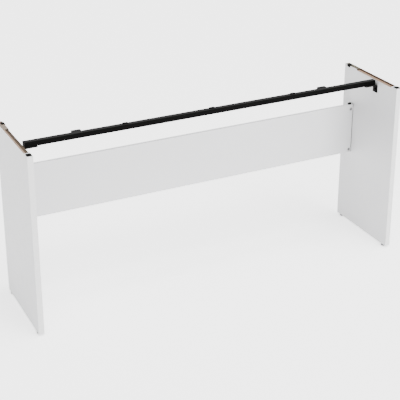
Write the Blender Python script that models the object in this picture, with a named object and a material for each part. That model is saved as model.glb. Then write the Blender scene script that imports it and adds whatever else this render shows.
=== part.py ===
"""Stand for a slim 88-key digital piano: two board side panels, a back board and a steel rail.

Metres, +Z up, +X along the stand's width, -Y is the player's side.
The origin is on the floor, under the middle of the stand.
"""

import math

import bmesh
import bpy

# Overall sizes
WIDTH = 1.290
DEPTH = 0.306
PANEL_HEIGHT = 0.586
PANEL_THICKNESS = 0.018
GAP = 0.0003
SIDES = {"left": -1, "right": 1}

# How far a cutter runs past the face it starts from
SPARE = 0.002

# Sides of a round piece
FINE = 24
COARSE = 16

# Floor glides, one near each end of a panel's bottom edge
GLIDE_RADIUS = 0.0088
GLIDE_HEIGHT = 0.006
GLIDE_INSET = 0.022
GLIDE_PIN_RADIUS = 0.002
GLIDE_PIN_LENGTH = 0.012

PANEL_BOTTOM = GLIDE_HEIGHT + GAP
PANEL_TOP = PANEL_BOTTOM + PANEL_HEIGHT
INNER_FACE = WIDTH / 2 - PANEL_THICKNESS

# Rebate along the inner side of each panel's top edge
REBATE_DEPTH = 0.004
REBATE_WIDTH = 0.0125
REBATE_FRONT = -0.122
REBATE_REAR = 0.080

# Rubber pads on the panels' top edges. The rear ones fold over the inner edge.
PAD_THICKNESS = 0.002
PAD_CORNER = 0.002
FRONT_PAD_Y = -0.1405
FRONT_PAD_LENGTH = 0.017
FRONT_PAD_WIDTH = 0.016
REAR_PAD_Y = 0.129
REAR_PAD_LENGTH = 0.016
REAR_PAD_REACH = 0.012
REAR_PAD_DROP = 0.008
REAR_PAD_BEND = 0.0005

# Back board
BOARD_THICKNESS = 0.012
BOARD_HEIGHT = 0.182
BOARD_BOTTOM = PANEL_BOTTOM + 0.271
BOARD_FRONT = 0.088
BOARD_END_GAP = 0.001
BOARD_HALF_LENGTH = INNER_FACE - BOARD_END_GAP

# Steel rail: a square tube whose top is just under the panels' tops
RAIL_SIZE = 0.017
RAIL_WALL = 0.0012
RAIL_CORNER = 0.0010
RAIL_Y = -0.035
RAIL_TOP = PANEL_TOP - 0.001
RAIL_BOTTOM = RAIL_TOP - RAIL_SIZE
RAIL_END_CLEARANCE = 0.010
RAIL_HALF_LENGTH = INNER_FACE - RAIL_END_CLEARANCE
PLUG_HEAD = 0.0018
PLUG_BODY = 0.010

# Angle brackets under the rail's ends
BRACKET_THICKNESS = 0.0025
BRACKET_WIDTH = 0.024
BRACKET_REACH = 0.048
BRACKET_DROP = 0.0285
BRACKET_BEND = 0.0025
BRACKET_TOP = RAIL_BOTTOM - GAP
BRACKET_BACK = INNER_FACE - GAP
RAIL_SCREW_X = INNER_FACE - 0.033
PANEL_SCREW_Z = BRACKET_TOP - 0.0165

# M5 pan head screws with a cross recess, and the nuts they turn into
SCREW_RADIUS = 0.00245
SCREW_HOLE = 0.0028
SCREW_HEAD_RADIUS = 0.0045
SCREW_HEAD_HEIGHT = 0.0028
SCREW_DOME_HEIGHT = 0.0011
SCREW_CROSS_LENGTH = 0.0044
SCREW_CROSS_WIDTH = 0.0010
SCREW_CROSS_DEPTH = 0.0014
INSERT_RADIUS = 0.004
INSERT_HOLE = 0.0043
INSERT_LENGTH = 0.012
INSERT_HOLE_DEPTH = 0.013
INSERT_BARBS = 2
INSERT_GROOVE = 0.0005
WELD_NUT_SIZE = 0.0095
WELD_NUT_HEIGHT = 0.004

# Tabs on the rail's rear face, where the piano is screwed down
TAB_WIDTH = 0.028
TAB_REACH = 0.015
TAB_DROP = 0.012
TAB_LIP = 0.008
TAB_THICKNESS = 0.002
TAB_BEND = 0.0006
TAB_HOLE = 0.0035
TAB_X = {"left": -0.449, "right": 0.419}

# Rubber pads on the rail's top
RAIL_PAD_LENGTH = 0.018
RAIL_PAD_WIDTH = 0.010
RAIL_PAD_X = {"left": -0.296, "centre": 0.0, "right": 0.296}
RAIL_PAD_TOP = PANEL_TOP + GAP + PAD_THICKNESS

# Connectors between the back board and the panels: a housing, a cam that turns in it, and a bolt
CONNECTOR_INSET = 0.0095
CONNECTOR_Z = {"upper": BOARD_BOTTOM + BOARD_HEIGHT - 0.017, "lower": BOARD_BOTTOM + 0.0105}
POCKET_RADIUS = 0.010
POCKET_DEPTH = 0.0104
HOUSING_RADIUS = POCKET_RADIUS - GAP
HOUSING_DEPTH = 0.0100
CAM_FACE_RADIUS = 0.0050
CAM_DRUM_RADIUS = 0.0066
CAM_HOLLOW_RADIUS = 0.0047
CAM_FACE_DEPTH = 0.0024
CAM_DEPTH = 0.0096
CAM_WEB = 0.0006
RUNNING_CLEARANCE = 0.0001
BOLT_LEVEL = 0.0060
BOLT_NECK_RADIUS = 0.0016
BOLT_HEAD_RADIUS = 0.0028
BOLT_HEAD_CENTRE = CONNECTOR_INSET - 0.0014
BOLT_THREAD_RADIUS = 0.0025
BOLT_THREAD_LENGTH = 0.011
BOLT_ENTRY_RADIUS = 0.0031
CAM_SLOT_HALF_WIDTH = 0.0020
RECESS_LENGTH = 0.0060
RECESS_WIDTH = 0.0013
RECESS_DEPTH = 0.0016

# Cord clip stuck on the back board's top edge
CLIP_X = 0.613
CLIP_SIZE = (0.011, 0.010, 0.0065)
CLIP_WALL = 0.0012

COLOURS = {
    "white_laminate": ((0.80, 0.80, 0.81), 0.45, 0.0),
    "black_steel": ((0.018, 0.018, 0.019), 0.42, 0.6),
    "black_rubber": ((0.012, 0.012, 0.012), 0.85, 0.0),
    "black_plastic": ((0.020, 0.020, 0.020), 0.50, 0.0),
    "white_plastic": ((0.78, 0.78, 0.78), 0.40, 0.0),
    "zinc": ((0.42, 0.42, 0.43), 0.38, 0.9),
}


def clear_scene():
    for obj in list(bpy.data.objects):
        bpy.data.objects.remove(obj, do_unlink=True)


def material(name):
    found = bpy.data.materials.get(name)
    if found:
        return found
    colour, roughness, metallic = COLOURS[name]
    made = bpy.data.materials.new(name)
    made.use_nodes = True
    made.diffuse_color = (*colour, 1.0)
    shader = made.node_tree.nodes["Principled BSDF"]
    shader.inputs["Base Color"].default_value = (*colour, 1.0)
    shader.inputs["Roughness"].default_value = roughness
    shader.inputs["Metallic"].default_value = metallic
    return made


def mesh_from(bm, name, smooth):
    """Closes off a bmesh as a mesh whose faces point out."""
    bmesh.ops.remove_doubles(bm, verts=bm.verts, dist=1e-6)
    bmesh.ops.recalc_face_normals(bm, faces=bm.faces)
    mesh = bpy.data.meshes.new(name)
    bm.to_mesh(mesh)
    bm.free()
    if smooth:
        mesh.shade_smooth()
        mesh.set_sharp_from_angle(angle=math.radians(35))
    return mesh


def place(name, mesh, look, location=(0, 0, 0), rotation=(0, 0, 0)):
    obj = bpy.data.objects.new(name, mesh)
    obj.location = location
    obj.rotation_euler = rotation
    bpy.context.scene.collection.objects.link(obj)
    if look:
        obj.data.materials.append(material(look))
    return obj


def box(low, high):
    """A box between two corners."""
    bm = bmesh.new()
    bmesh.ops.create_cube(bm, size=1.0)
    for vert in bm.verts:
        for axis in range(3):
            middle, size = (low[axis] + high[axis]) / 2, high[axis] - low[axis]
            vert.co[axis] = middle + vert.co[axis] * size
    return mesh_from(bm, "box", False)


def arc(centre, radius, start, end, steps):
    """Points on an arc, angles in degrees."""
    angles = [math.radians(start + (end - start) * i / steps) for i in range(steps + 1)]
    return [(centre[0] + radius * math.cos(a), centre[1] + radius * math.sin(a)) for a in angles]


def rounded_rectangle(length, width, radius, steps=3):
    x, y = length / 2 - radius, width / 2 - radius
    points = []
    for quarter, (cx, cy) in enumerate(((x, y), (-x, y), (-x, -y), (x, -y))):
        points += arc((cx, cy), radius, 90 * quarter, 90 * quarter + 90, steps)
    return points


def prism(outline, low, high, smooth=True):
    """An outline in X and Y, extruded from low to high along Z."""
    bm = bmesh.new()
    face = bm.faces.new([bm.verts.new((x, y, low)) for x, y in outline])
    raised = bmesh.ops.extrude_face_region(bm, geom=[face])
    top = [item for item in raised["geom"] if isinstance(item, bmesh.types.BMVert)]
    bmesh.ops.translate(bm, verts=top, vec=(0, 0, high - low))
    return mesh_from(bm, "prism", smooth)


def turned(profile, segments, closed=False):
    """A profile of (radius, z) points, turned round the Z axis. A closed one makes a ring."""
    bm = bmesh.new()
    verts = [bm.verts.new((radius, 0, z)) for radius, z in profile]
    edges = [bm.edges.new(pair) for pair in zip(verts, verts[1:])]
    if closed:
        edges.append(bm.edges.new((verts[-1], verts[0])))
    bmesh.ops.spin(
        bm,
        geom=verts + edges,
        cent=(0, 0, 0),
        axis=(0, 0, 1),
        angle=math.tau,
        steps=segments,
        use_duplicate=False,
    )
    return mesh_from(bm, "turned", True)


def cylinder(radius, low, high, segments=COARSE):
    return turned([(0, low), (radius, low), (radius, high), (0, high)], segments)


def hollow_bar(outer, inner, half_length):
    """A tube along X with an outer and an inner outline of as many points each."""
    bm = bmesh.new()
    rings = []
    for outline in (outer, inner):
        for x in (-half_length, half_length):
            rings.append([bm.verts.new((x, y, z)) for y, z in outline])
    outer_low, outer_high, inner_low, inner_high = rings
    pairs = (
        (outer_low, outer_high),
        (inner_high, inner_low),
        (inner_low, outer_low),
        (outer_high, inner_high),
    )
    count = len(outer)
    for first, second in pairs:
        for i in range(count):
            j = (i + 1) % count
            bm.faces.new((first[i], first[j], second[j], second[i]))
    return mesh_from(bm, "hollow_bar", True)


def cut(target, mesh, location=(0, 0, 0), rotation=(0, 0, 0)):
    """Takes a shape away from an object. The cutter stays in the file as a wire guide."""
    cutter = place(f"cutter_{target.name}_{len(target.modifiers)}", mesh, None, location, rotation)
    cutter.hide_render = True
    cutter.display_type = "WIRE"
    step = target.modifiers.new(f"cut_{len(target.modifiers)}", "BOOLEAN")
    step.operation = "DIFFERENCE"
    step.solver = "EXACT"
    step.object = cutter


def along_x(side):
    """Turns a shape's +Z to +X on the right, and to -X on the left."""
    return (0, side * math.pi / 2, 0)


TOWARDS_PLAYER = (math.pi / 2, 0, 0)


def angle_outline(reach, drop, thickness, bend, steps=4):
    """Section of a folded strip: level along +X from the corner at 0, 0, then down along Y."""
    inner = arc((bend + thickness, -bend - thickness), bend, 180, 90, steps)
    outer = arc((bend + thickness, -bend - thickness), bend + thickness, 90, 180, steps)
    return [(thickness, -drop), *inner, (reach, -thickness), (reach, 0), *outer, (0, -drop)]


def channel_outline(reach, front_drop, rear_drop, thickness, bend, steps=3):
    """Section of a strip folded down at both ends, level between 0 and reach along X."""
    fold = bend + thickness
    near, far = (fold, -fold), (reach - fold, -fold)
    inner = arc(near, bend, 180, 90, steps) + arc(far, bend, 90, 0, steps)
    outer = arc(far, fold, 0, 90, steps) + arc(near, fold, 90, 180, steps)
    rear_end = [(reach - thickness, -rear_drop), (reach, -rear_drop)]
    return [(thickness, -front_drop), *inner, *rear_end, *outer, (0, -front_drop)]


def add_side_panel(name, side):
    inner, outer = side * INNER_FACE, side * WIDTH / 2
    low = (min(inner, outer), -DEPTH / 2, PANEL_BOTTOM)
    high = (max(inner, outer), DEPTH / 2, PANEL_TOP)
    panel = place(f"{name}_side_panel", box(low, high), "white_laminate")
    edge, wall = side * (INNER_FACE - SPARE), side * (INNER_FACE + REBATE_WIDTH)
    rebate_low = (min(edge, wall), REBATE_FRONT, PANEL_TOP - REBATE_DEPTH)
    rebate_high = (max(edge, wall), REBATE_REAR, PANEL_TOP + SPARE)
    cut(panel, box(rebate_low, rebate_high))
    insert = cylinder(INSERT_HOLE, -SPARE, INSERT_HOLE_DEPTH)
    cut(panel, insert, (inner, RAIL_Y, PANEL_SCREW_Z), along_x(side))
    for z in CONNECTOR_Z.values():
        hole = cylinder(BOLT_THREAD_RADIUS + GAP, -SPARE, BOLT_THREAD_LENGTH + 0.001)
        cut(panel, hole, (inner, BOARD_FRONT + BOLT_LEVEL, z), along_x(side))
    for y in glide_places().values():
        hole = cylinder(GLIDE_PIN_RADIUS + GAP, -SPARE, GLIDE_PIN_LENGTH + 0.001)
        cut(panel, hole, ((inner + outer) / 2, y, PANEL_BOTTOM))


def glide_places():
    end = DEPTH / 2 - GLIDE_INSET
    return {"front": -end, "rear": end}


def add_glides(name, side):
    chamfer = 0.001
    profile = [
        (0, 0),
        (GLIDE_RADIUS - chamfer, 0),
        (GLIDE_RADIUS, chamfer),
        (GLIDE_RADIUS, GLIDE_HEIGHT),
        (GLIDE_PIN_RADIUS, GLIDE_HEIGHT),
        (GLIDE_PIN_RADIUS, GLIDE_HEIGHT + GLIDE_PIN_LENGTH - chamfer),
        (0, GLIDE_HEIGHT + GLIDE_PIN_LENGTH),
    ]
    middle = side * (WIDTH - PANEL_THICKNESS) / 2
    for end, y in glide_places().items():
        place(f"floor_glide_{name}_{end}", turned(profile, FINE), "black_plastic", (middle, y, 0))


def add_top_pads(name, side):
    """A flat pad near the front, and one folded over the panel's inner edge near the rear."""
    outline = rounded_rectangle(FRONT_PAD_WIDTH, FRONT_PAD_LENGTH, PAD_CORNER)
    flat = prism(outline, 0, PAD_THICKNESS)
    location = (side * (WIDTH - PANEL_THICKNESS) / 2, FRONT_PAD_Y, PANEL_TOP + GAP)
    place(f"top_pad_{name}_front", flat, "black_rubber", location)

    section = angle_outline(REAR_PAD_REACH, REAR_PAD_DROP, PAD_THICKNESS, REAR_PAD_BEND)
    corner = INNER_FACE - GAP - PAD_THICKNESS
    outline = [(side * (corner + x), z) for x, z in section]
    folded = prism(outline, -REAR_PAD_LENGTH / 2, REAR_PAD_LENGTH / 2)
    location = (0, REAR_PAD_Y, PANEL_TOP + GAP + PAD_THICKNESS)
    place(f"top_pad_{name}_rear", folded, "black_rubber", location, TOWARDS_PLAYER)


def add_back_board():
    low = (-BOARD_HALF_LENGTH, BOARD_FRONT, BOARD_BOTTOM)
    high = (BOARD_HALF_LENGTH, BOARD_FRONT + BOARD_THICKNESS, BOARD_BOTTOM + BOARD_HEIGHT)
    board = place("back_board", box(low, high), "white_laminate")
    for side in SIDES.values():
        for z in CONNECTOR_Z.values():
            pocket = cylinder(POCKET_RADIUS, -POCKET_DEPTH, SPARE, FINE)
            x = side * (INNER_FACE - CONNECTOR_INSET)
            cut(board, pocket, (x, BOARD_FRONT, z), TOWARDS_PLAYER)


def add_rail():
    outer = rounded_rectangle(RAIL_SIZE, RAIL_SIZE, RAIL_CORNER)
    hollow = RAIL_SIZE - 2 * RAIL_WALL
    inner = rounded_rectangle(hollow, hollow, RAIL_CORNER / 2)
    middle = (0, RAIL_Y, RAIL_TOP - RAIL_SIZE / 2)
    rail = place("rail_tube", hollow_bar(outer, inner, RAIL_HALF_LENGTH), "black_steel", middle)
    for side in SIDES.values():
        hole = cylinder(SCREW_HOLE, -RAIL_SIZE / 2, RAIL_SIZE / 4)
        cut(rail, hole, (side * RAIL_SCREW_X, RAIL_Y, RAIL_BOTTOM))


def add_end_plug(name, side):
    head = rounded_rectangle(RAIL_SIZE, RAIL_SIZE, RAIL_CORNER)
    size = RAIL_SIZE - 2 * RAIL_WALL - 2 * GAP
    body = rounded_rectangle(size, size, RAIL_CORNER / 2)
    bm = bmesh.new()
    levels = (
        (body, -PLUG_BODY),
        (body, GAP),
        (head, GAP),
        (head, GAP + PLUG_HEAD),
    )
    rings = [[bm.verts.new((x, y, z)) for x, y in outline] for outline, z in levels]
    count = len(head)
    for lower, upper in zip(rings, rings[1:]):
        for i in range(count):
            j = (i + 1) % count
            bm.faces.new((lower[i], lower[j], upper[j], upper[i]))
    bm.faces.new(list(reversed(rings[0])))
    bm.faces.new(rings[-1])
    location = (side * RAIL_HALF_LENGTH, RAIL_Y, RAIL_TOP - RAIL_SIZE / 2)
    mesh = mesh_from(bm, "plug", True)
    place(f"rail_end_plug_{name}", mesh, "black_plastic", location, along_x(side))


def add_bracket(name, side):
    """Angle bracket: one leg under the rail, the other down the panel's inner face."""
    section = angle_outline(BRACKET_REACH, BRACKET_DROP, BRACKET_THICKNESS, BRACKET_BEND)
    outline = [(side * (BRACKET_BACK - x), z) for x, z in section]
    mesh = prism(outline, -BRACKET_WIDTH / 2, BRACKET_WIDTH / 2)
    location = (0, RAIL_Y, BRACKET_TOP)
    bracket = place(f"rail_bracket_{name}", mesh, "black_steel", location, TOWARDS_PLAYER)
    through = cylinder(SCREW_HOLE, -0.01, 0.01)
    cut(bracket, through, (side * RAIL_SCREW_X, RAIL_Y, BRACKET_TOP))
    cut(bracket, through.copy(), (side * BRACKET_BACK, RAIL_Y, PANEL_SCREW_Z), along_x(side))


def pan_head_screw(length):
    """A pan head below 0, and a plain shank up to the length."""
    profile = [
        (0, -SCREW_HEAD_HEIGHT),
        (SCREW_HEAD_RADIUS * 0.62, -SCREW_HEAD_HEIGHT),
        (SCREW_HEAD_RADIUS * 0.90, -SCREW_HEAD_HEIGHT + SCREW_DOME_HEIGHT * 0.45),
        (SCREW_HEAD_RADIUS, -SCREW_HEAD_HEIGHT + SCREW_DOME_HEIGHT),
        (SCREW_HEAD_RADIUS, 0),
        (SCREW_RADIUS, 0),
        (SCREW_RADIUS, length - SCREW_RADIUS / 3),
        (SCREW_RADIUS * 2 / 3, length),
        (0, length),
    ]
    return turned(profile, COARSE)


def cross_outline(length, width):
    """A plus sign."""
    a, b = width / 2, length / 2
    return [
        (a, a), (a, b), (-a, b), (-a, a), (-b, a), (-b, -a),
        (-a, -a), (-a, -b), (a, -b), (a, -a), (b, -a), (b, a),
    ]


def add_bracket_screws(name, side):
    """One screw up into the rail, one into the panel, and the nut that each turns into."""
    head_gap = BRACKET_THICKNESS + GAP
    cross = cross_outline(SCREW_CROSS_LENGTH, SCREW_CROSS_WIDTH)
    recess = prism(cross, -SPARE, SCREW_CROSS_DEPTH, False)

    below = (side * RAIL_SCREW_X, RAIL_Y, BRACKET_TOP - head_gap)
    length = head_gap + 2 * GAP + RAIL_WALL + WELD_NUT_HEIGHT + 0.001
    up = place(f"bracket_rail_screw_{name}", pan_head_screw(length), "black_steel", below)
    cut(up, recess, (below[0], below[1], below[2] - SCREW_HEAD_HEIGHT))

    front = (side * (BRACKET_BACK - head_gap), RAIL_Y, PANEL_SCREW_Z)
    into = place(
        f"bracket_panel_screw_{name}",
        pan_head_screw(head_gap + INSERT_LENGTH - 0.002),
        "black_steel",
        front,
        along_x(side),
    )
    recess_place = (front[0] - side * SCREW_HEAD_HEIGHT, RAIL_Y, PANEL_SCREW_Z)
    cut(into, recess.copy(), recess_place, along_x(side))

    nut_outline = rounded_rectangle(WELD_NUT_SIZE, WELD_NUT_SIZE, 0.001)
    nut_low = RAIL_BOTTOM + RAIL_WALL + GAP
    nut_place = (side * RAIL_SCREW_X, RAIL_Y, nut_low)
    nut_mesh = prism(nut_outline, 0, WELD_NUT_HEIGHT)
    nut = place(f"rail_weld_nut_{name}", nut_mesh, "zinc", nut_place)
    cut(nut, cylinder(SCREW_HOLE, -0.01, 0.01), nut_place)

    outer = [(INSERT_RADIUS, 0)]
    pitch = INSERT_LENGTH / INSERT_BARBS
    for i in range(INSERT_BARBS):
        start = i * pitch
        outer += [
            (INSERT_RADIUS, start + pitch * 0.6),
            (INSERT_RADIUS - INSERT_GROOVE, start + pitch * 0.7),
            (INSERT_RADIUS - INSERT_GROOVE, start + pitch * 0.9),
            (INSERT_RADIUS, start + pitch),
        ]
    profile = [*outer, (SCREW_HOLE, INSERT_LENGTH), (SCREW_HOLE, 0)]
    insert_place = (side * (INNER_FACE + GAP), RAIL_Y, PANEL_SCREW_Z)
    insert_mesh = turned(profile, COARSE, closed=True)
    place(f"panel_insert_nut_{name}", insert_mesh, "zinc", insert_place, along_x(side))


def add_tab(name, x):
    """Tab on the rail's rear face: a leg down the rail, a level top with a hole, a rear lip."""
    section = channel_outline(TAB_REACH, TAB_DROP, TAB_LIP, TAB_THICKNESS, TAB_BEND)
    mesh = prism(section, -TAB_WIDTH / 2, TAB_WIDTH / 2)
    rear = RAIL_Y + RAIL_SIZE / 2 + GAP
    turned_to_rear = (math.pi / 2, 0, math.pi / 2)
    tab = place(f"piano_tab_{name}", mesh, "black_steel", (x, rear, RAIL_TOP), turned_to_rear)
    hole_place = (x, rear + TAB_REACH / 2, RAIL_TOP)
    cut(tab, cylinder(TAB_HOLE, -0.004, 0.004, FINE), hole_place)


def add_rail_pads():
    outline = rounded_rectangle(RAIL_PAD_LENGTH, RAIL_PAD_WIDTH, PAD_CORNER)
    height = RAIL_PAD_TOP - RAIL_TOP - GAP
    for name, x in RAIL_PAD_X.items():
        mesh = prism(outline, 0, height)
        place(f"rail_pad_{name}", mesh, "black_rubber", (x, RAIL_Y, RAIL_TOP + GAP))


def add_connector(name, side, level, z):
    """Housing sunk in the board, cam turning in it about Y, and a bolt screwed in the panel."""
    x = side * (INNER_FACE - CONNECTOR_INSET)
    centre = (x, BOARD_FRONT, z)
    housing_mesh = cylinder(HOUSING_RADIUS, -HOUSING_DEPTH, 0, FINE)
    housing = place(
        f"connector_housing_{name}_{level}", housing_mesh, "white_plastic", centre, TOWARDS_PLAYER
    )
    mouth = CAM_FACE_RADIUS + RUNNING_CLEARANCE
    bore = CAM_DRUM_RADIUS + RUNNING_CLEARANCE
    shoulder = -CAM_FACE_DEPTH + RUNNING_CLEARANCE
    bore_profile = [
        (0, -HOUSING_DEPTH - SPARE),
        (bore, -HOUSING_DEPTH - SPARE),
        (bore, shoulder),
        (mouth, shoulder),
        (mouth, SPARE),
        (0, SPARE),
    ]
    cut(housing, turned(bore_profile, FINE), centre, TOWARDS_PLAYER)
    entry = cylinder(BOLT_ENTRY_RADIUS, 0.005, 0.012)
    cut(housing, entry, (x, BOARD_FRONT + BOLT_LEVEL, z), along_x(side))
    end = side * BOARD_HALF_LENGTH
    beyond = end + side * 0.004
    trim_low = (min(end, beyond), BOARD_FRONT - 0.001, z - POCKET_RADIUS)
    trim_high = (max(end, beyond), BOARD_FRONT + POCKET_DEPTH, z + POCKET_RADIUS)
    cut(housing, box(trim_low, trim_high))
    add_cam(name, side, level, centre)
    add_connector_bolt(name, side, level, z)


def add_cam(name, side, level, centre):
    """Cup-shaped cam. Its wall has half a turn of slot, which the bolt's neck runs in."""
    profile = [
        (0, -GAP),
        (CAM_FACE_RADIUS, -GAP),
        (CAM_FACE_RADIUS, -CAM_FACE_DEPTH),
        (CAM_DRUM_RADIUS, -CAM_FACE_DEPTH),
        (CAM_DRUM_RADIUS, -CAM_DEPTH),
        (CAM_HOLLOW_RADIUS, -CAM_DEPTH),
        (CAM_HOLLOW_RADIUS, -CAM_FACE_DEPTH - CAM_WEB),
        (0, -CAM_FACE_DEPTH - CAM_WEB),
    ]
    mesh = turned(profile, FINE)
    cam = place(f"connector_cam_{name}_{level}", mesh, "zinc", centre, TOWARDS_PLAYER)
    cross = prism(cross_outline(RECESS_LENGTH, RECESS_WIDTH), -RECESS_DEPTH - GAP, SPARE, False)
    cut(cam, cross, centre, TOWARDS_PLAYER)

    # The bolt comes in along +X on the right and along -X on the left, seen from the player.
    towards_panel = 0 if side > 0 else 180
    margin = math.degrees(math.asin(CAM_SLOT_HALF_WIDTH / CAM_HOLLOW_RADIUS))
    start, end = towards_panel - 180 - margin, towards_panel + margin
    inside, outside = CAM_HOLLOW_RADIUS - 0.001, CAM_DRUM_RADIUS + 0.001
    steps = 15
    sector = arc((0, 0), outside, start, end, steps) + arc((0, 0), inside, end, start, steps)
    low, high = -BOLT_LEVEL - CAM_SLOT_HALF_WIDTH, -BOLT_LEVEL + CAM_SLOT_HALF_WIDTH
    cut(cam, prism(sector, low, high, False), centre, TOWARDS_PLAYER)
    mouth = cylinder(BOLT_ENTRY_RADIUS, 0.003, 0.008)
    x, y, z = centre
    cut(cam, mouth, (x, y + BOLT_LEVEL, z), along_x(-side))


def add_connector_bolt(name, side, level, z):
    """Thread in the panel, neck across the joint and a ball head inside the cam."""
    inside = BOLT_THREAD_RADIUS
    reach = BOLT_HEAD_CENTRE
    neck_angle = math.degrees(math.asin(BOLT_NECK_RADIUS / BOLT_HEAD_RADIUS))
    ball = arc((0, -reach), BOLT_HEAD_RADIUS, -90, 90 - neck_angle, 5)
    ball[0] = (0, ball[0][1])
    profile = [
        *ball,
        (BOLT_NECK_RADIUS, GAP),
        (inside, GAP),
        (inside, BOLT_THREAD_LENGTH - 0.001),
        (inside - 0.001, BOLT_THREAD_LENGTH),
        (0, BOLT_THREAD_LENGTH),
    ]
    location = (side * INNER_FACE, BOARD_FRONT + BOLT_LEVEL, z)
    mesh = turned(profile, COARSE)
    place(f"connector_bolt_{name}_{level}", mesh, "zinc", location, along_x(side))


def add_cord_clip():
    """Low clip with a hooked lip, open at the rear for a cord."""
    length, depth, height = CLIP_SIZE
    radius = 0.0011
    hook = arc((depth / 2, CLIP_WALL + radius), radius, 250, -20, 10)
    outline = [(0, 0), (depth, 0), (depth, CLIP_WALL), *hook, (depth * 0.75, height), (0, height)]
    mesh = prism(outline, -length / 2, length / 2)
    top = BOARD_BOTTOM + BOARD_HEIGHT + GAP
    location = (CLIP_X, BOARD_FRONT + 0.001, top)
    place("cord_clip_right", mesh, "black_plastic", location, (math.pi / 2, 0, math.pi / 2))


def main():
    clear_scene()
    for name, side in SIDES.items():
        add_side_panel(name, side)
        add_glides(name, side)
        add_top_pads(name, side)
        add_end_plug(name, side)
        add_bracket(name, side)
        add_bracket_screws(name, side)
        add_tab(name, TAB_X[name])
        for level, z in CONNECTOR_Z.items():
            add_connector(name, side, level, z)
    add_back_board()
    add_rail()
    add_rail_pads()
    add_cord_clip()


main()
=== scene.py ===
"""Looks for the digital piano stand: finer meshes, procedural materials, floor, light and camera.

Metres, in the part's own frame: +X along the stand, -Y towards the player, +Z up.
"""

import math

import bmesh
import bpy
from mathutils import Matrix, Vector


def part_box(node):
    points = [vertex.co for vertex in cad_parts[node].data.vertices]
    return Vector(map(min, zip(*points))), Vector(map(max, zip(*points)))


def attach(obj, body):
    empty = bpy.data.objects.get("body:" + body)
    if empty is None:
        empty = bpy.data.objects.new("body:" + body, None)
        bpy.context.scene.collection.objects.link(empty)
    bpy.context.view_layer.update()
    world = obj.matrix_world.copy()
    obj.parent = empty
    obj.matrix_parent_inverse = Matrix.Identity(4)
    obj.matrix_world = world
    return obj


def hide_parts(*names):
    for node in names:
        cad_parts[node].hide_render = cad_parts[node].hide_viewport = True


STAND = "stand"
SIDES = {"left": -1, "right": 1}
LEVELS = ("upper", "lower")
ENDS = ("front", "rear")

# Sides of a round piece
ROUND = 64
SMALL_ROUND = 40

# Boards: the rebate in each panel's top, the edge band, and a dark band at each end of the back
# board, painted shadow of its joint with the panel
REBATE_DEPTH = 0.004
REBATE_WIDTH = 0.0125
REBATE_FRONT = -0.122
REBATE_REAR = 0.080
BAND = 0.001
JOINT_SHADE_BAND = 0.0014

# Steel, with holes given by their radius
TUBE_WALL = 0.0012
TUBE_CORNER = 0.0010
BRACKET_PLATE = 0.0025
BRACKET_BEND = 0.0025
BRACKET_HOLE = 0.0028
TAB_PLATE = 0.002
TAB_BEND = 0.0006
TAB_LIP = 0.008
TAB_HOLE = 0.0035

# Screws
HEAD_RADIUS = 0.0045
HEAD_HEIGHT = 0.0028
HEAD_DOME = 0.0011
SHANK_RADIUS = 0.00245

# Rubber and plastic
PAD_THICKNESS = 0.002
PAD_BEND = 0.0005
PAD_CORNER = 0.002
PLUG_HEAD = 0.0018
PLUG_CLEARANCE = 0.0006
GLIDE_FOOT = 0.006
GLIDE_PIN = 0.002
CLIP_WALL = 0.0012
CLIP_CURL = 0.0011

# Connectors, as radii and depths from the back board's face
CAM_FACE = 0.0050
CAM_FACE_DEPTH = 0.0024
CAM_HOLLOW = 0.0047
CAM_CLEARANCE = 0.0001
BOLT_HOLE = 0.0031
BOLT_DEPTH = 0.006
SLOT_HALF_WIDTH = 0.0020

# How far a cutter goes past the surface it cuts
SPARE = 0.002

# Light
WORLD_LIGHT = 0.6
OVERHEAD = 7.0
OVERHEAD_SOFTNESS = 60
FRONT = 165.0
FRONT_PLACE = (1.6, -4.0, 1.0)
FRONT_TARGET = (0.1, 0, 0.3)
FRONT_SIZE = (2.0, 1.2)
FLOOR_GLOW = 1.5

# Camera, with its angles in radians
CAMERA_PLACE = (-1.4337, -2.8306, 1.7831)
CAMERA_YAW = 0.4619
CAMERA_PITCH = 0.3924
CAMERA_LENS = 95.7
CAMERA_SHIFT = -0.15


# ---------------------------------------------------------------- meshes


def mesh_from(bm, name, smooth=True):
    bmesh.ops.remove_doubles(bm, verts=bm.verts, dist=1e-6)
    bmesh.ops.recalc_face_normals(bm, faces=bm.faces)
    mesh = bpy.data.meshes.new(name)
    bm.to_mesh(mesh)
    bm.free()
    if smooth:
        mesh.shade_smooth()
        mesh.set_sharp_from_angle(angle=math.radians(35))
    return mesh


def arc(centre, radius, start, end, steps):
    """Points on an arc, angles in degrees."""
    angles = [math.radians(start + (end - start) * i / steps) for i in range(steps + 1)]
    return [(centre[0] + radius * math.cos(a), centre[1] + radius * math.sin(a)) for a in angles]


def rounded_rectangle(length, width, radius, steps=6):
    x, y = length / 2 - radius, width / 2 - radius
    points = []
    for quarter, (cx, cy) in enumerate(((x, y), (-x, y), (-x, -y), (x, -y))):
        points += arc((cx, cy), radius, 90 * quarter, 90 * quarter + 90, steps)
    return points


def prism(outline, low, high):
    """An outline in X and Y, extruded from low to high along Z."""
    bm = bmesh.new()
    face = bm.faces.new([bm.verts.new((x, y, low)) for x, y in outline])
    raised = bmesh.ops.extrude_face_region(bm, geom=[face])
    top = [item for item in raised["geom"] if isinstance(item, bmesh.types.BMVert)]
    bmesh.ops.translate(bm, verts=top, vec=(0, 0, high - low))
    return mesh_from(bm, "prism")


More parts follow.
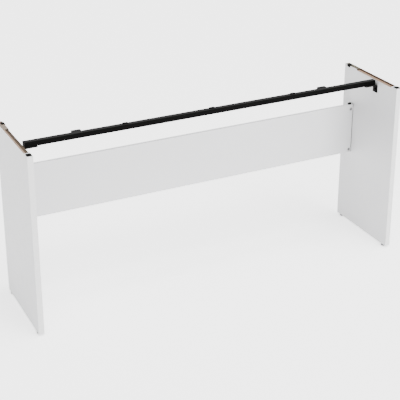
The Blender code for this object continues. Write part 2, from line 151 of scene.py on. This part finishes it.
def turned(profile, segments=ROUND, closed=False):
    """A profile of (radius, z) points, turned round the Z axis. A closed one makes a ring."""
    bm = bmesh.new()
    verts = [bm.verts.new((radius, 0, z)) for radius, z in profile]
    edges = [bm.edges.new(pair) for pair in zip(verts, verts[1:])]
    if closed:
        edges.append(bm.edges.new((verts[-1], verts[0])))
    bmesh.ops.spin(
        bm,
        geom=verts + edges,
        cent=(0, 0, 0),
        axis=(0, 0, 1),
        angle=math.tau,
        steps=segments,
        use_duplicate=False,
    )
    return mesh_from(bm, "turned")


def cylinder(radius, low, high, segments=SMALL_ROUND):
    return turned([(0, low), (radius, low), (radius, high), (0, high)], segments)


def blocks(xs, ys, zs, filled, slot):
    """The filled cells of a grid as one solid. slot(middle, normal) picks a face's material."""
    bm = bmesh.new()
    sizes = (len(xs) - 1, len(ys) - 1, len(zs) - 1)

    def solid(cell):
        inside = all(0 <= cell[a] < sizes[a] for a in range(3))
        return inside and filled(*cell)

    def corner(cell):
        return Vector((xs[cell[0]], ys[cell[1]], zs[cell[2]]))

    for i in range(sizes[0]):
        for j in range(sizes[1]):
            for k in range(sizes[2]):
                if not solid((i, j, k)):
                    continue
                for axis in range(3):
                    for step in (0, 1):
                        beyond = [i, j, k]
                        beyond[axis] += 2 * step - 1
                        if solid(beyond):
                            continue
                        u, v = [a for a in range(3) if a != axis]
                        points = []
                        for du, dv in ((0, 0), (1, 0), (1, 1), (0, 1)):
                            cell = [i, j, k]
                            cell[axis] += step
                            cell[u] += du
                            cell[v] += dv
                            points.append(corner(cell))
                        normal = Vector((0, 0, 0))
                        normal[axis] = 2 * step - 1
                        face = bm.faces.new([bm.verts.new(p) for p in points])
                        face.material_index = slot(sum(points, Vector()) / 4, normal)
    return mesh_from(bm, "blocks", False)


def plain_box(low, high):
    return blocks(*zip(low, high), lambda i, j, k: True, lambda middle, normal: 0)


# ---------------------------------------------------------------- pieces


def piece(name, mesh, looks, nodes, body=STAND, location=(0, 0, 0), rotation=(0, 0, 0), slot=None):
    """A shown piece that stands for CAD nodes and rides on a body."""
    obj = bpy.data.objects.new(name, mesh)
    obj.location = location
    obj.rotation_euler = rotation
    bpy.context.scene.collection.objects.link(obj)
    for look in looks:
        obj.data.materials.append(LOOKS[look])
    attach(obj, body)
    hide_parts(*nodes)
    slot or looks[0]
    return obj


def cut(target, mesh, location=(0, 0, 0), rotation=(0, 0, 0)):
    """Takes a shape away for good, so that no cutter is left in the scene."""
    bpy.context.view_layer.update()
    cutter = bpy.data.objects.new("cutter", mesh)
    cutter.location = location
    cutter.rotation_euler = rotation
    bpy.context.scene.collection.objects.link(cutter)
    step = target.modifiers.new("cut", "BOOLEAN")
    step.operation = "DIFFERENCE"
    step.solver = "EXACT"
    step.object = cutter
    bpy.context.view_layer.update()
    shape = target.evaluated_get(bpy.context.evaluated_depsgraph_get())
    made = bpy.data.meshes.new_from_object(shape)
    target.modifiers.remove(step)
    target.data = made
    bpy.data.objects.remove(cutter, do_unlink=True)


def soften(obj, width, segments=2, angle=40):
    """Rounds the sharp edges."""
    step = obj.modifiers.new("soften", "BEVEL")
    step.width = width
    step.segments = segments
    step.limit_method = "ANGLE"
    step.angle_limit = math.radians(angle)
    step.harden_normals = True
    step.use_clamp_overlap = True
    obj.data.shade_smooth()
    obj.data.set_sharp_from_angle(angle=math.radians(angle))
    return obj


def along_x(side):
    """Turns a shape's +Z to +X on the right, and to -X on the left."""
    return (0, side * math.pi / 2, 0)


# Turn a section drawn in X and Y upright: facing the player, or lying across the stand
TOWARDS_PLAYER = (math.pi / 2, 0, 0)
ACROSS = (math.pi / 2, 0, math.pi / 2)


def middle_of(node):
    low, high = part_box(node)
    return (low + high) / 2


# ---------------------------------------------------------------- materials


class Recipe:
    """Builds one material's nodes. Textures are in the piece's own coordinates, in metres."""

    def __init__(self, name, roughness, metallic=0.0, **sockets):
        self.material = bpy.data.materials.new(name)
        self.material.use_nodes = True
        self.tree = self.material.node_tree
        self.shader = self.tree.nodes["Principled BSDF"]
        self.shader.inputs["Roughness"].default_value = roughness
        self.shader.inputs["Metallic"].default_value = metallic
        for socket, value in sockets.items():
            self.shader.inputs[socket.replace("_", " ")].default_value = value
        self.place = self.node("ShaderNodeTexCoord").outputs["Object"]
        self.normal = None

    def node(self, kind, **settings):
        made = self.tree.nodes.new(kind)
        for name, value in settings.items():
            setattr(made, name, value)
        return made

    def join(self, source, target):
        self.tree.links.new(source, target)

    def stretched(self, scale):
        mapping = self.node("ShaderNodeMapping")
        mapping.inputs["Scale"].default_value = scale
        self.join(self.place, mapping.inputs["Vector"])
        return mapping.outputs["Vector"]

    def noise(self, scale, detail=4.0, rough=0.55, stretch=None):
        made = self.node("ShaderNodeTexNoise")
        made.inputs["Scale"].default_value = scale
        made.inputs["Detail"].default_value = detail
        made.inputs["Roughness"].default_value = rough
        self.join(self.stretched(stretch) if stretch else self.place, made.inputs["Vector"])
        return made.outputs["Fac"]

    def chips(self, scale, stretch, output="Color", feature="F1"):
        made = self.node("ShaderNodeTexVoronoi", feature=feature)
        made.inputs["Scale"].default_value = scale
        made.inputs["Randomness"].default_value = 1.0
        self.join(self.stretched(stretch), made.inputs["Vector"])
        return made.outputs[output]

    def ramp(self, source, *stops):
        made = self.node("ShaderNodeValToRGB")
        elements = made.color_ramp.elements
        while len(elements) < len(stops):
            elements.new(0.5)
        for element, (position, colour) in zip(elements, stops):
            element.position = position
            element.color = (*colour, 1.0)
        self.join(source, made.inputs["Fac"])
        return made.outputs["Color"]

    def range(self, source, low, high, start=0.3, end=0.7):
        made = self.node("ShaderNodeMapRange")
        made.inputs["From Min"].default_value = start
        made.inputs["From Max"].default_value = end
        made.inputs["To Min"].default_value = low
        made.inputs["To Max"].default_value = high
        self.join(source, made.inputs["Value"])
        return made.outputs["Result"]

    def blend(self, share, first, second, kind="MIX"):
        made = self.node("ShaderNodeMix", data_type="RGBA", blend_type=kind)
        inputs = made.inputs
        for value, socket in ((share, inputs[0]), (first, inputs[6]), (second, inputs[7])):
            if isinstance(value, bpy.types.NodeSocket):
                self.join(value, socket)
            elif isinstance(value, tuple):
                socket.default_value = (*value, 1.0)
            else:
                socket.default_value = value
        return made.outputs[2]

    def colour(self, source):
        self.join(source, self.shader.inputs["Base Color"])

    def roughness(self, source):
        self.join(source, self.shader.inputs["Roughness"])

    def bump(self, height, depth, strength=1.0):
        made = self.node("ShaderNodeBump")
        made.inputs["Strength"].default_value = strength
        made.inputs["Distance"].default_value = depth
        self.join(height, made.inputs["Height"])
        if self.normal:
            self.join(self.normal, made.inputs["Normal"])
        self.normal = made.outputs["Normal"]
        self.join(self.normal, self.shader.inputs["Normal"])


def grey(value):
    return (value, value, value)


def scaled(tint, factor):
    return tuple(c * factor for c in tint)


def white_foil(name, tint, rough):
    """Melamine foil: a pearl-like surface, and a very slight shift of tone from place to place."""
    recipe = Recipe(name, rough)
    tone = recipe.noise(3.0, 3.0)
    recipe.colour(recipe.ramp(tone, (0.35, scaled(tint, 0.975)), (0.65, tint)))
    recipe.roughness(recipe.range(recipe.noise(40.0, 3.0), rough - 0.05, rough + 0.06))
    recipe.bump(recipe.noise(850.0, 2.0), 0.00004, 0.5)
    recipe.bump(recipe.noise(110.0, 2.0), 0.00006, 0.35)
    return recipe.material


def raw_board(name, mid):
    """Sawn edge of particle board: long flat chips, fine crumbs between them, dark specks."""
    pale = scaled(mid, 1.35)
    deep = scaled(mid, 0.6)
    recipe = Recipe(name, 0.88, Specular_IOR_Level=0.25)
    chips = recipe.chips(1.0, (620.0, 190.0, 620.0))
    crumbs = recipe.chips(1.0, (1500.0, 1100.0, 1500.0))
    base = recipe.ramp(chips, (0.12, deep), (0.42, mid), (0.8, pale))
    fine = recipe.ramp(crumbs, (0.1, deep), (0.5, mid), (0.9, pale))
    share = recipe.range(recipe.noise(260.0, 3.0), 0.15, 0.75)
    mixed = recipe.blend(share, base, fine)
    specks = recipe.range(recipe.noise(900.0, 2.0), 0.0, 1.0, 0.66, 0.74)
    recipe.colour(recipe.blend(specks, mixed, scaled(deep, 0.35)))
    recipe.bump(recipe.chips(1.0, (620.0, 190.0, 620.0), "Distance"), 0.0004, 0.5)
    recipe.bump(recipe.noise(1400.0, 3.0), 0.0002, 0.6)
    return recipe.material


def powder_coat(name, tint, top_highlight):
    """Satin powder coat: orange peel over a little unevenness, and a painted highlight on what
    faces up.
    """
    recipe = Recipe(name, 0.42, Specular_IOR_Level=0.02)
    tone = recipe.noise(25.0, 3.0)
    paint = recipe.ramp(tone, (0.3, scaled(tint, 0.85)), (0.7, scaled(tint, 1.2)))
    # Painted highlight: the more a face turns up, the more its colour goes to the lighter grey.
    facing = recipe.node("ShaderNodeNewGeometry").outputs["Normal"]
    upward = recipe.node("ShaderNodeSeparateXYZ")
    recipe.join(facing, upward.inputs["Vector"])
    top_highlight_share = recipe.range(upward.outputs["Z"], 0.0, 1.0, 0.6, 0.95)
    recipe.colour(recipe.blend(top_highlight_share, paint, top_highlight))
    recipe.roughness(recipe.range(recipe.noise(300.0, 3.0), 0.36, 0.50))
    recipe.bump(recipe.noise(1900.0, 2.0), 0.00006, 0.6)
    recipe.bump(recipe.noise(420.0, 2.0), 0.00005, 0.4)
    return recipe.material


def rubber(name, tint):
    recipe = Recipe(name, 0.82, Specular_IOR_Level=0.05)
    tone = recipe.noise(180.0, 4.0)
    recipe.colour(recipe.ramp(tone, (0.3, tint), (0.75, scaled(tint, 2.0))))
    recipe.roughness(recipe.range(recipe.noise(500.0, 3.0), 0.72, 0.92))
    recipe.bump(recipe.noise(2600.0, 3.0), 0.00008, 0.7)
    return recipe.material


def moulded(name, tint, rough, spread=0.06, **sockets):
    """Injection-moulded plastic with an etched skin."""
    recipe = Recipe(name, rough, **sockets)
    tone = recipe.noise(90.0, 3.0)
    recipe.colour(recipe.ramp(tone, (0.3, scaled(tint, 0.93)), (0.7, tint)))
    recipe.roughness(recipe.range(recipe.noise(400.0, 3.0), rough - spread, rough + spread))
    recipe.bump(recipe.noise(3200.0, 2.0), 0.00003, 0.5)
    return recipe.material


def zinc(name, tint):
    """Die-cast zinc: slightly pitted, with cloudy patches in the sheen."""
    recipe = Recipe(name, 0.38, 0.9)
    tone = recipe.noise(350.0, 4.0)
    recipe.colour(recipe.ramp(tone, (0.3, scaled(tint, 0.78)), (0.7, tint)))
    recipe.roughness(recipe.range(recipe.noise(700.0, 3.0), 0.28, 0.52))
    recipe.bump(recipe.noise(2400.0, 3.0), 0.00005, 0.6)
    return recipe.material


LOOKS = {
    "white_laminate": white_foil("white_laminate_foil", (0.60, 0.60, 0.608), 0.42),
    "edge_band": white_foil("white_edge_band", grey(0.61), 0.36),
    "raw_peach": raw_board("raw_board_peach", (0.235, 0.158, 0.108)),
    "raw_tan": raw_board("raw_board_tan", (0.24, 0.17, 0.125)),
    "raw_grey": raw_board("raw_board_grey", (0.19, 0.155, 0.125)),
    "raw_olive": raw_board("raw_board_olive", (0.085, 0.077, 0.055)),
    # The next three are darker copies of the raw board: painted shade in the panels' rebates and at
    # the back board's ends.
    "painted_shade_brown": raw_board("raw_board_painted_shade_brown", (0.052, 0.036, 0.024)),
    "painted_shade_umber": raw_board("raw_board_painted_shade_umber", (0.056, 0.027, 0.0175)),
    "painted_shade_dark": raw_board("raw_board_painted_shade_dark", (0.03, 0.022, 0.017)),
    # The second grey is the painted highlight on faces that turn up.
    "black_steel": powder_coat("black_powder_coat", grey(0.0012), grey(0.018)),
    "black_rubber": rubber("black_rubber_pad", grey(0.003)),
    "black_plastic": moulded(
        "black_moulded_plastic", grey(0.004), 0.50, Specular_IOR_Level=0.08
    ),
    "white_plastic": moulded("white_moulded_plastic", grey(0.58), 0.40),
    "zinc": zinc("cast_zinc", (0.22, 0.22, 0.225)),
}


# ---------------------------------------------------------------- boards

# Tones of each panel's sawn top: rebate floor, strip beside it, part behind it, rebate's end. The
# left rebate floor, the right strip with the rebate's wall, and each rebate's end take darker
# copies of the raw board: painted shade.
RAW_TONES = {
    "left": ("painted_shade_brown", "raw_tan", "raw_grey", "painted_shade_dark"),
    "right": ("raw_peach", "painted_shade_umber", "raw_olive", "painted_shade_dark"),
}


def add_side_panel(name, side):
    """Board with a rebate in the inner half of its raw top, and a band on each upright edge."""
    node = f"{name}_side_panel"
    low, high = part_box(node)
    wall = low.x + REBATE_WIDTH if side > 0 else high.x - REBATE_WIDTH
    xs = (low.x, wall, high.x)
    ys = (low.y + BAND, REBATE_FRONT, REBATE_REAR, high.y - BAND)
    zs = (low.z, high.z - REBATE_DEPTH, high.z)
    inner = 0 if side > 0 else 1

    def filled(i, j, k):
        return not (i == inner and j == 1 and k == 1)

    def slot(middle, normal):
        in_rebate = REBATE_FRONT - 1e-5 < middle.y < REBATE_REAR + 1e-5
        if normal.z > 0.5 and middle.y > REBATE_REAR:
            return 3
        if normal.z > 0.5 and in_rebate:
            on_floor = middle.z < high.z - REBATE_DEPTH / 2
            return 1 if on_floor else 2
        if in_rebate and middle.z > high.z - REBATE_DEPTH and abs(middle.x - wall) < 1e-5:
            return 2
        if in_rebate and abs(normal.y) > 0.5:
            return 4
        return 0

    # Some of these raw tones are darker copies of the board, painted shade on the rebate's faces.
    looks = ("white_laminate", *RAW_TONES[name])
    board = piece(f"{node}_board", blocks(xs, ys, zs, filled, slot), looks, [node])
    soften(board, 0.0003)
    for end, (near, far) in {
        "front": (low.y, low.y + BAND),
        "rear": (high.y - BAND, high.y),
    }.items():
        mesh = plain_box((low.x, near, low.z), (high.x, far, high.z))
        band = piece(f"{node}_{end}_band", mesh, ("edge_band",), [node], slot="white_laminate")
        soften(band, 0.0004, 3)


def add_back_board():
    low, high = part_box("back_board")
    xs = (low.x, low.x + JOINT_SHADE_BAND, high.x - JOINT_SHADE_BAND, high.x)

    # Faces in the end bands take the darkest raw tone: painted shadow along the joint with each
    # panel.
    def slot(middle, normal):
        return 0 if xs[1] < middle.x < xs[2] else 1

    mesh = blocks(xs, (low.y, high.y), (low.z, high.z), lambda i, j, k: True, slot)
    board = piece("back_board_panel", mesh, ("white_laminate", "painted_shade_dark"), ["back_board"])
    for name in SIDES:
        for level in LEVELS:
            low_h, high_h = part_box(f"connector_housing_{name}_{level}")
            x = middle_of(f"connector_cam_{name}_{level}").x
            z = (low_h.z + high_h.z) / 2
            radius = (high_h.z - low_h.z) / 2 + 0.0003
            depth = high_h.y - low_h.y + 0.0004
            pocket = cylinder(radius, -depth, SPARE, ROUND)
            cut(board, pocket, (x, low.y, z), TOWARDS_PLAYER)
    soften(board, 0.0003)


def add_pads():
    for name, side in SIDES.items():
        add_flat_pad(f"top_pad_{name}_front")
        add_folded_pad(f"top_pad_{name}_rear", side)
    for name in ("left", "centre", "right"):
        add_flat_pad(f"rail_pad_{name}")


def add_flat_pad(node):
    low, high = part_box(node)
    size = high - low
    outline = rounded_rectangle(size.x, size.y, PAD_CORNER)
    mesh = prism(outline, -size.z / 2, size.z / 2)
    location = (low + high) / 2
    pad = piece(f"{node}_rubber", mesh, ("black_rubber",), [node], location=location)
    soften(pad, 0.0005, 3)


def add_folded_pad(node, side):
    """Pad over the panel's inner edge: level on top, with a short leg down the inner face."""
    low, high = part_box(node)
    size = high - low
    corner = low.x if side > 0 else high.x
    section = angle_outline(size.x, size.z, PAD_THICKNESS, PAD_BEND)
    mesh = prism([(side * x, z) for x, z in section], -size.y / 2, size.y / 2)
    location = (corner, (low.y + high.y) / 2, high.z)
    looks = ("black_rubber",)
    pad = piece(f"{node}_rubber", mesh, looks, [node], STAND, location, TOWARDS_PLAYER)
    soften(pad, 0.0004, 3)


def add_glides():
    for name in SIDES:
        for end in ENDS:
            node = f"floor_glide_{name}_{end}"
            low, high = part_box(node)
            x, y = (low.x + high.x) / 2, (low.y + high.y) / 2
            radius = (high.x - low.x) / 2
            fillet = arc((radius - 0.0015, 0.0015), 0.0015, -90, 0, 6)
            rim = arc((radius - 0.0005, GLIDE_FOOT - 0.0005), 0.0005, 0, 90, 4)
            profile = [(0, 0.0002), (radius * 0.5, 0.0), *fillet, *rim]
            profile += [(GLIDE_PIN, GLIDE_FOOT), (GLIDE_PIN, high.z - 0.001), (0, high.z)]
            mesh = turned(profile)
            piece(f"{node}_foot", mesh, ("black_plastic",), [node], location=(x, y, 0))


# ---------------------------------------------------------------- rail


def add_rail():
    low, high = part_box("rail_tube")
    size = high.z - low.z
    middle = (low + high) / 2
    outer = rounded_rectangle(size, size, TUBE_CORNER, 8)
    hollow = size - 2 * TUBE_WALL
    inner = rounded_rectangle(hollow, hollow, TUBE_CORNER / 2, 8)
    bm = bmesh.new()
    rings = []
    for outline in (outer, inner):
        for x in (low.x, high.x):
            rings.append([bm.verts.new((x, y, z)) for y, z in outline])
    outer_low, outer_high, inner_low, inner_high = rings
    pairs = (
        (outer_low, outer_high),
        (inner_high, inner_low),
        (inner_low, outer_low),
        (outer_high, inner_high),
    )
    count = len(outer)
    for first, second in pairs:
        for i in range(count):
            j = (i + 1) % count
            bm.faces.new((first[i], first[j], second[j], second[i]))
    mesh = mesh_from(bm, "tube")
    location = (0, middle.y, middle.z)
    piece("rail_square_tube", mesh, ("black_steel",), ["rail_tube"], location=location)
    for name, side in SIDES.items():
        add_end_plug(name, side, size, hollow - PLUG_CLEARANCE, location)


def add_end_plug(name, side, head, inside, rail_middle):
    """Cap as wide as the tube, on a body that fits inside it."""
    node = f"rail_end_plug_{name}"
    low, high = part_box(node)
    outer_x = high.x if side > 0 else low.x
    location = (outer_x, rail_middle[1], rail_middle[2])
    place = ([node], STAND, location, along_x(side))
    cap = prism(rounded_rectangle(head, head, TUBE_CORNER, 8), -PLUG_HEAD, 0)
    plug = piece(f"{node}_cap", cap, ("black_plastic",), *place)
    soften(plug, 0.0005, 3)
    outline = rounded_rectangle(inside, inside, TUBE_CORNER / 2)
    body = prism(outline, low.x - high.x, -PLUG_HEAD)
    piece(f"{node}_body", body, ("black_plastic",), *place)


def angle_outline(reach, drop, thickness, bend, steps=10):
    """Section of a folded strip: level along +X from the corner at 0, 0, then down along Y."""
    inner = arc((bend + thickness, -bend - thickness), bend, 180, 90, steps)
    outer = arc((bend + thickness, -bend - thickness), bend + thickness, 90, 180, steps)
    return [(thickness, -drop), *inner, (reach, -thickness), (reach, 0), *outer, (0, -drop)]


def channel_outline(reach, front_drop, rear_drop, thickness, bend, steps=6):
    """Section of a strip folded down at both ends, level between 0 and reach along X."""
    fold = bend + thickness
    near, far = (fold, -fold), (reach - fold, -fold)
    inner = arc(near, bend, 180, 90, steps) + arc(far, bend, 90, 0, steps)
    outer = arc(far, fold, 0, 90, steps) + arc(near, fold, 90, 180, steps)
    rear_end = [(reach - thickness, -rear_drop), (reach, -rear_drop)]
    return [(thickness, -front_drop), *inner, *rear_end, *outer, (0, -front_drop)]


def add_bracket(name, side):
    """Angle under the rail's end and down the panel, with a screw hole in each leg."""
    node = f"rail_bracket_{name}"
    low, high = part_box(node)
    back = side * high.x if side > 0 else side * low.x
    y, width = (low.y + high.y) / 2, high.y - low.y
    section = angle_outline(high.x - low.x, high.z - low.z, BRACKET_PLATE, BRACKET_BEND)
    outline = [(side * (back - x), z) for x, z in section]
    mesh = prism(outline, -width / 2, width / 2)
    looks, location = ("black_steel",), (0, y, high.z)
    bracket = piece(f"{node}_plate", mesh, looks, [node], STAND, location, TOWARDS_PLAYER)
    up = middle_of(f"bracket_rail_screw_{name}")
    into = middle_of(f"bracket_panel_screw_{name}")
    through = cylinder(BRACKET_HOLE, -0.01, 0.01)
    cut(bracket, through, (up.x, y, high.z))
    cut(bracket, through.copy(), (side * back, y, into.z), along_x(side))
    soften(bracket, 0.0004)


def cross_outline(length, width):
    """A plus sign."""
    a, b = width / 2, length / 2
    return [
        (a, a), (a, b), (-a, b), (-a, a), (-b, a), (-b, -a),
        (-a, -a), (-a, -b), (a, -b), (a, -a), (b, -a), (b, a),
    ]


def add_screw(node, rotation, location, length):
    """Pan head screw, its head below 0 and its shank up to the length."""
    crown = [(HEAD_RADIUS * 0.62 * i / 3, -HEAD_HEIGHT) for i in range(4)]
    shoulder = []
    for angle in range(15, 91, 15):
        a = math.radians(angle)
        radius = HEAD_RADIUS * (0.62 + 0.38 * math.sin(a))
        shoulder.append((radius, -HEAD_HEIGHT + HEAD_DOME * (1 - math.cos(a))))
    shank_profile = [
        (HEAD_RADIUS, -0.0002),
        (HEAD_RADIUS - 0.0002, 0),
        (SHANK_RADIUS, 0),
        (SHANK_RADIUS, length - 0.0008),
        (SHANK_RADIUS * 2 / 3, length),
        (0, length),
    ]
    mesh = turned([*crown, *shoulder, *shank_profile], SMALL_ROUND)
    screw = piece(f"{node}_body", mesh, ("black_steel",), [node], STAND, location, rotation)
    recess = prism(cross_outline(0.0044, 0.0010), -HEAD_HEIGHT - SPARE, -HEAD_HEIGHT + 0.0014)
    cut(screw, recess, location, rotation)
    soften(screw, 0.0001, 2)


def add_bracket_screws(name, side):
    """One screw up into the rail and one into the panel."""
    node = f"bracket_rail_screw_{name}"
    low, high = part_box(node)
    middle = (low + high) / 2
    start = (middle.x, middle.y, low.z + HEAD_HEIGHT)
    add_screw(node, (0, 0, 0), start, high.z - low.z - HEAD_HEIGHT)
    node = f"bracket_panel_screw_{name}"
    low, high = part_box(node)
    middle = (low + high) / 2
    head = low.x + HEAD_HEIGHT if side > 0 else high.x - HEAD_HEIGHT
    start = (head, middle.y, middle.z)
    add_screw(node, along_x(side), start, high.x - low.x - HEAD_HEIGHT)


def add_tab(name):
    """Tab welded to the rail's rear face, folded down at both ends, with a screw hole."""
    node = f"piano_tab_{name}"
    low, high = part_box(node)
    x, width = (low.x + high.x) / 2, high.x - low.x
    section = channel_outline(high.y - low.y, high.z - low.z, TAB_LIP, TAB_PLATE, TAB_BEND)
    mesh = prism(section, -width / 2, width / 2)
    location = (x, low.y, high.z)
    tab = piece(f"{node}_plate", mesh, ("black_steel",), [node], STAND, location, ACROSS)
    cut(tab, cylinder(TAB_HOLE, -0.004, 0.004), (x, (low.y + high.y) / 2, high.z))
    soften(tab, 0.0003)


# ---------------------------------------------------------------- connectors


def add_connector(name, side, level):
    """Plastic housing let into the back board, and the zinc cam that turns inside it."""
    node = f"connector_housing_{name}_{level}"
    low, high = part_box(node)
    cam_node = f"connector_cam_{name}_{level}"
    cam_low, cam_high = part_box(cam_node)
    x = (cam_low.x + cam_high.x) / 2
    z = (low.z + high.z) / 2
    centre, bolt = (x, low.y, z), (x, low.y + BOLT_DEPTH, z)
    radius, depth = (high.z - low.z) / 2, high.y - low.y
    drum = (cam_high.x - cam_low.x) / 2
    mouth, room = CAM_FACE + CAM_CLEARANCE, drum + CAM_CLEARANCE
    step = CAM_CLEARANCE - CAM_FACE_DEPTH
    ring = [
        (mouth, 0), (radius - 0.0002, 0), (radius, -0.0002), (radius, -depth),
        (room, -depth), (room, step), (mouth, step),
    ]
    shell, looks = turned(ring, ROUND, closed=True), ("white_plastic",)
    housing = piece(f"{node}_shell", shell, looks, [node], STAND, centre, TOWARDS_PLAYER)
    end = high.x if side > 0 else low.x
    beyond = end + side * 0.004
    trim_low = (min(end, beyond), low.y - 0.001, low.z - 0.001)
    trim_high = (max(end, beyond), high.y + 0.001, high.z + 0.001)
    cut(housing, plain_box(trim_low, trim_high))
    cut(housing, cylinder(BOLT_HOLE, 0.005, 0.012), bolt, along_x(side))
    soften(housing, 0.00015)

    front, back = -0.0003, low.y - cam_high.y
    cup = [
        (0, front), (CAM_FACE - 0.0003, front), (CAM_FACE, front - 0.0003),
        (CAM_FACE, -CAM_FACE_DEPTH), (drum, -CAM_FACE_DEPTH), (drum, back),
        (CAM_HOLLOW, back), (CAM_HOLLOW, -0.0030), (0, -0.0030),
    ]
    body = f"cam_{name}_{level}"
    cam = piece(f"{cam_node}_cup", turned(cup), ("zinc",), [cam_node], body, centre, TOWARDS_PLAYER)
    cross = prism(cross_outline(0.0060, 0.0013), front - 0.0016, SPARE)
    cut(cam, cross, centre, TOWARDS_PLAYER)
    towards_panel = 0 if side > 0 else 180
    margin = math.degrees(math.asin(SLOT_HALF_WIDTH / CAM_HOLLOW))
    start, stop = towards_panel - 180 - margin, towards_panel + margin
    outside = arc((0, 0), drum + 0.001, start, stop, 30)
    inside = arc((0, 0), CAM_HOLLOW - 0.001, stop, start, 30)
    cut(cam, prism(outside + inside, -0.008, -0.004), centre, TOWARDS_PLAYER)
    cut(cam, cylinder(BOLT_HOLE, 0.003, 0.008), bolt, along_x(-side))
    soften(cam, 0.0001)


def add_cord_clip():
    """Small block with a groove along its front, curled over at the lip."""
    node = "cord_clip_right"
    low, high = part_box(node)
    size = high - low
    hook = arc((size.y / 2, CLIP_WALL + CLIP_CURL), CLIP_CURL, 250, -20, 24)
    floor = [(0, 0), (size.y, 0), (size.y, CLIP_WALL)]
    mesh = prism([*floor, *hook, (size.y * 0.75, size.z), (0, size.z)], -size.x / 2, size.x / 2)
    location = ((low.x + high.x) / 2, low.y, low.z)
    clip = piece(f"{node}_hook", mesh, ("black_plastic",), [node], STAND, location, ACROSS)
    soften(clip, 0.0003)


def dress_hidden_nodes():
    """Nuts and bolts inside the boards keep their CAD shape and get their metal."""
    for node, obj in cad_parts.items():
        if node.startswith(("panel_insert_nut", "rail_weld_nut", "connector_bolt")):
            obj.data.materials.clear()
            obj.data.materials.append(LOOKS["zinc"])


# ---------------------------------------------------------------- stage


def add_floor():
    bm = bmesh.new()
    bmesh.ops.create_grid(bm, x_segments=1, y_segments=1, size=14.0)
    floor = bpy.data.objects.new("floor", mesh_from(bm, "floor", False))
    floor.location = (0, 0, -0.0005)
    bpy.context.scene.collection.objects.link(floor)
    recipe = Recipe("pale_floor", 0.9)
    recipe.shader.inputs["Base Color"].default_value = (0.93, 0.93, 0.93, 1.0)
    recipe.shader.inputs["Emission Color"].default_value = (1.0, 1.0, 1.0, 1.0)
    recipe.shader.inputs["Emission Strength"].default_value = FLOOR_GLOW
    floor.data.materials.append(recipe.material)


def add_area(name, place, target, size, power):
    data = bpy.data.lights.new(name, "AREA")
    data.shape = "RECTANGLE"
    data.size, data.size_y = size
    data.energy = power
    light = bpy.data.objects.new(name, data)
    light.location = place
    aim = Vector(target) - Vector(place)
    light.rotation_euler = aim.to_track_quat("-Z", "Y").to_euler()
    bpy.context.scene.collection.objects.link(light)


def add_overhead(power, softness):
    """Soft light straight down, as from a large scrim over the set."""
    data = bpy.data.lights.new("overhead", "SUN")
    data.energy = power
    data.angle = math.radians(softness)
    light = bpy.data.objects.new("overhead", data)
    light.location = (0, 0, 4)
    light.rotation_euler = (math.radians(15), math.radians(7), 0)
    bpy.context.scene.collection.objects.link(light)


def add_world(strength):
    world = bpy.data.worlds.new("studio")
    world.use_nodes = True
    background = world.node_tree.nodes["Background"]
    background.inputs["Color"].default_value = (1.0, 1.0, 1.0, 1.0)
    background.inputs["Strength"].default_value = strength
    bpy.context.scene.world = world


def add_camera(place, yaw, pitch, lens, shift):
    """Yaw turns from +Y towards +X, pitch tips down."""
    level = math.cos(pitch)
    ahead = Vector((math.sin(yaw) * level, math.cos(yaw) * level, -math.sin(pitch)))
    data = bpy.data.cameras.new("camera")
    data.lens = lens
    data.shift_y = shift
    data.clip_start = 0.05
    camera = bpy.data.objects.new("camera", data)
    camera.location = place
    turn = ahead.to_track_quat("-Z", "Y").to_matrix().to_4x4()
    camera.rotation_euler = turn.to_euler()
    bpy.context.scene.collection.objects.link(camera)
    bpy.context.scene.camera = camera


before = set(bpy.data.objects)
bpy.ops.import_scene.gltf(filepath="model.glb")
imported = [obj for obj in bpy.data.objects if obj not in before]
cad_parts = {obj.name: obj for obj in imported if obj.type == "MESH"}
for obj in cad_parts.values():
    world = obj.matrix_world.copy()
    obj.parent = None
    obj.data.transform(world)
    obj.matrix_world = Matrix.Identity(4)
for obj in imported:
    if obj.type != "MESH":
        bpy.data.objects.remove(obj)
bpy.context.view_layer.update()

for side_name, side_sign in SIDES.items():
    add_side_panel(side_name, side_sign)
    add_bracket(side_name, side_sign)
    add_bracket_screws(side_name, side_sign)
    add_tab(side_name)
    for level_name in LEVELS:
        add_connector(side_name, side_sign, level_name)
add_back_board()
add_pads()
add_glides()
add_rail()
add_cord_clip()
dress_hidden_nodes()

add_floor()
add_world(WORLD_LIGHT)
add_overhead(OVERHEAD, OVERHEAD_SOFTNESS)
add_area("front", FRONT_PLACE, FRONT_TARGET, FRONT_SIZE, FRONT)
add_camera(CAMERA_PLACE, CAMERA_YAW, CAMERA_PITCH, CAMERA_LENS, CAMERA_SHIFT)
